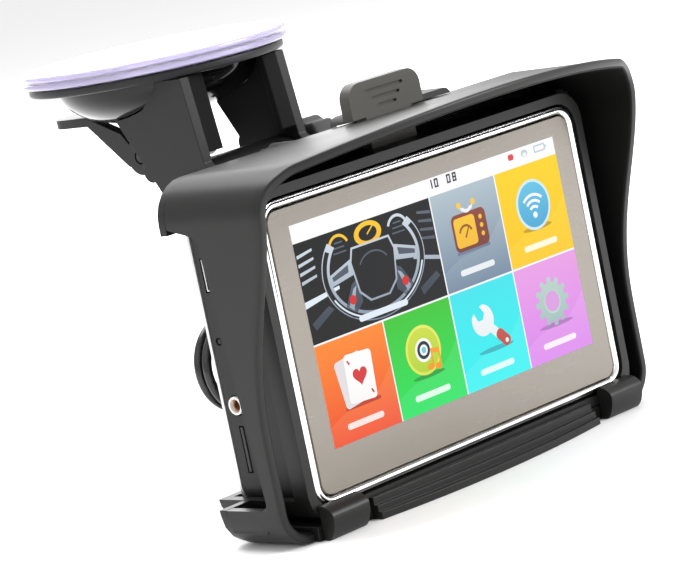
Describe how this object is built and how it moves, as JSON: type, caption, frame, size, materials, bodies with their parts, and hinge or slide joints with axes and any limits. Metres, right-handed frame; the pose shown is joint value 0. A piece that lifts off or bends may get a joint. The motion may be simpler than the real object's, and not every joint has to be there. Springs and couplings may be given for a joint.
{
  "type": "portable gps navigator",
  "caption": "Touch-screen car navigator in a hooded cradle with port access, latch and ball joint, hung from a lever-locked suction cup.",
  "frame": {"origin": "centre of the suction cup's outer face", "axes": "+Z out of the suction face, towards the glass that it holds to; -Y towards the viewer of the screen; +X to the viewer's right"},
  "size_m": [0.1354, 0.1547, 0.113],
  "materials": {
    "satin_shell": "fine satin grain, dark grey",
    "gloss_dome": "polished black",
    "clear_gel": "clear soft gel with a lilac tint",
    "grey_plastic": "satin mid grey",
    "black_rubber": "matt black",
    "bright_trim": "bright plated",
    "steel": "plated steel",
    "silver_shell": "silver paint",
    "case_grey": "satin dark grey",
    "screen_glass": "touch panel with a taupe border",
    "lcd": "thin pressed sheet",
    "board": "green solder mask",
    "battery": "silver pouch foil",
    "white_plastic": "white",
    "ceramic": "tan ceramic patch",
    "nylon": "natural nylon"
  },
  "bodies": {
    "suction_mount": {"gel_face": "clear_gel", "pad_disc": "clear_gel", "cup_shell": "gloss_dome", "left_cheek": "satin_shell", "right_cheek": "satin_shell", "stem_spring": "steel", "hinge_bolt": "steel", "hinge_washer": "steel"},
    "stem": {"pull_stem": "grey_plastic", "lever_pin": "steel"},
    "lever": {"cam_lever": "satin_shell"},
    "knob": {"clamp_knob": "black_rubber"},
    "knuckle": {"hinge_knuckle": "satin_shell"},
    "liner": {"socket_liner": "nylon"},
    "collar": {"collar_nut": "black_rubber"},
    "latch": {"latch_tab": "grey_plastic"},
    "power_key": {"power_button": "grey_plastic"},
    "reset_key": {"reset_button": "case_grey"},
    "cradle": {"cradle_tray": "satin_shell", "sun_visor": "satin_shell", "bottom_ledge": "satin_shell", "left_lip": "satin_shell", "right_lip": "satin_shell", "ball_socket": "satin_shell", "lead_gland": "satin_shell", "lead_clip": "satin_shell", "latch_cover": "black_rubber", "foam_pad_1": "black_rubber", "foam_pad_2": "black_rubber", "lead": "black_rubber", "lead_plug": "black_rubber", "speaker": "black_rubber", "memory_card": "black_rubber", "chrome_trim": "bright_trim", "latch_spring": "steel", "socket_screw_1": "steel", "socket_screw_2": "steel", "visor_screw_1": "steel", "visor_screw_2": "steel", "visor_screw_3": "steel", "visor_screw_4": "steel", "case_screw_1": "steel", "case_screw_2": "steel", "case_screw_3": "steel", "case_screw_4": "steel", "shield_can": "steel", "usb_port": "steel", "card_slot": "steel", "rear_shell": "silver_shell", "mid_frame": "case_grey", "touch_panel": "screen_glass", "lcd_module": "lcd", "main_board": "board", "battery_cell": "battery", "audio_jack": "white_plastic", "gps_antenna": "ceramic"}
  },
  "joints": [
    {"name": "stem_pull", "type": "slide", "parent": "suction_mount", "child": "stem", "axis": [0, 0, 1], "range_m": [0, 0.0025], "deforming": ["stem_spring"]},
    {"name": "lever_swing", "type": "hinge", "parent": "stem", "child": "lever", "pos_m": [0, 0, -0.0262], "axis": [-1, 0, 0], "range_deg": [0, 75]},
    {"name": "knob_turn", "type": "hinge", "parent": "suction_mount", "child": "knob", "pos_m": [0.025, -0.0248, -0.0355], "axis": [1, 0, 0], "continuous": true},
    {"name": "arm_tilt", "type": "hinge", "parent": "suction_mount", "child": "knuckle", "pos_m": [0, -0.0248, -0.0355], "axis": [1, 0, 0], "range_deg": [-12, 60]},
    {"name": "head_pan", "type": "hinge", "parent": "knuckle", "child": "liner", "pos_m": [0, -0.0442, -0.0415], "axis": [0, 0, 1], "range_deg": [-15, 15]},
    {"name": "head_roll", "type": "hinge", "parent": "liner", "child": "cradle", "pos_m": [0, -0.0442, -0.0415], "axis": [0, 1, 0], "range_deg": [-90, 90]},
    {"name": "collar_turn", "type": "hinge", "parent": "cradle", "child": "collar", "pos_m": [0, -0.0442, -0.0415], "axis": [0, 1, 0], "continuous": true},
    {"name": "latch_lift", "type": "slide", "parent": "cradle", "child": "latch", "axis": [0, 0, 1], "range_m": [0, 0.003], "stiffness_N_per_m": 300, "springref_m": -0.003, "deforming": ["latch_spring"]},
    {"name": "power_press", "type": "slide", "parent": "cradle", "child": "power_key", "axis": [0, 0, -1], "range_m": [0, 0.0005], "stiffness_N_per_m": 800, "springref_m": -0.0005},
    {"name": "reset_press", "type": "slide", "parent": "cradle", "child": "reset_key", "axis": [1, 0, 0], "range_m": [0, 0.0003], "stiffness_N_per_m": 400, "springref_m": -0.0005}
  ],
  "couplings": [
    {"joint": "lever_swing", "follows": "stem_pull", "rad_per_m": 520}
  ]
}
